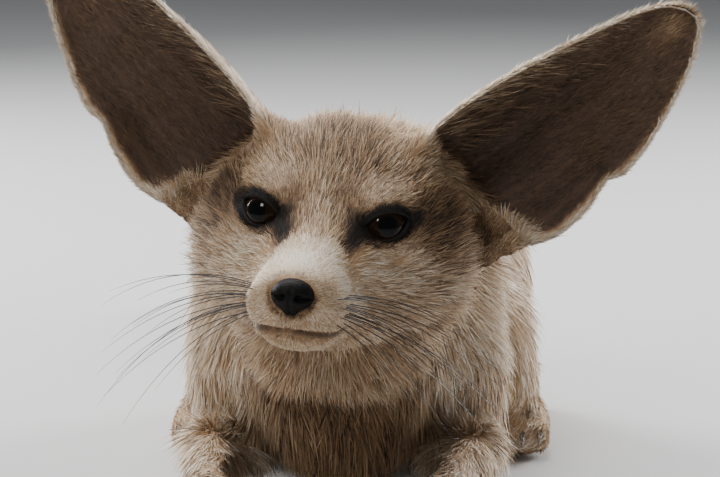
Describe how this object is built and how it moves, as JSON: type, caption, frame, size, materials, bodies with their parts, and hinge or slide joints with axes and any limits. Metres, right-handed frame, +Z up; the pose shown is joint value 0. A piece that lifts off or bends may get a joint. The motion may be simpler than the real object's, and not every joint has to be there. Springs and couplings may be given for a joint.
{
  "type": "fennec fox",
  "caption": "Life-size still model of a fennec fox lying on its chest with its head up, ears spread wide, paws forward and its bushy tail laid out behind.",
  "frame": {"origin": "on the floor, under the middle of the model's box", "axes": "the fox faces -Y, its left side is +X, up is +Z"},
  "size_m": [0.2046, 0.5158, 0.1816],
  "materials": {
    "coat": "matt fur",
    "ear": "short matt fur",
    "eye": "wet gloss",
    "nose": "moist pebbled skin",
    "claw": "satin horn"
  },
  "bodies": {
    "root": {"head": "coat", "neck": "coat", "torso": "coat", "foreleg_left": "coat", "foreleg_right": "coat", "hindleg_left": "coat", "hindleg_right": "coat", "tail_root": "coat", "tail_brush": "coat", "ear_left": "ear", "ear_right": "ear", "eye_left": "eye", "eye_right": "eye", "nose": "nose", "claw_fore_left_1": "claw", "claw_fore_left_2": "claw", "claw_fore_left_3": "claw", "claw_fore_left_4": "claw", "claw_fore_right_1": "claw", "claw_fore_right_2": "claw", "claw_fore_right_3": "claw", "claw_fore_right_4": "claw", "claw_hind_left_1": "claw", "claw_hind_left_2": "claw", "claw_hind_left_3": "claw", "claw_hind_left_4": "claw", "claw_hind_right_1": "claw", "claw_hind_right_2": "claw", "claw_hind_right_3": "claw", "claw_hind_right_4": "claw"}
  },
  "joints": []
}
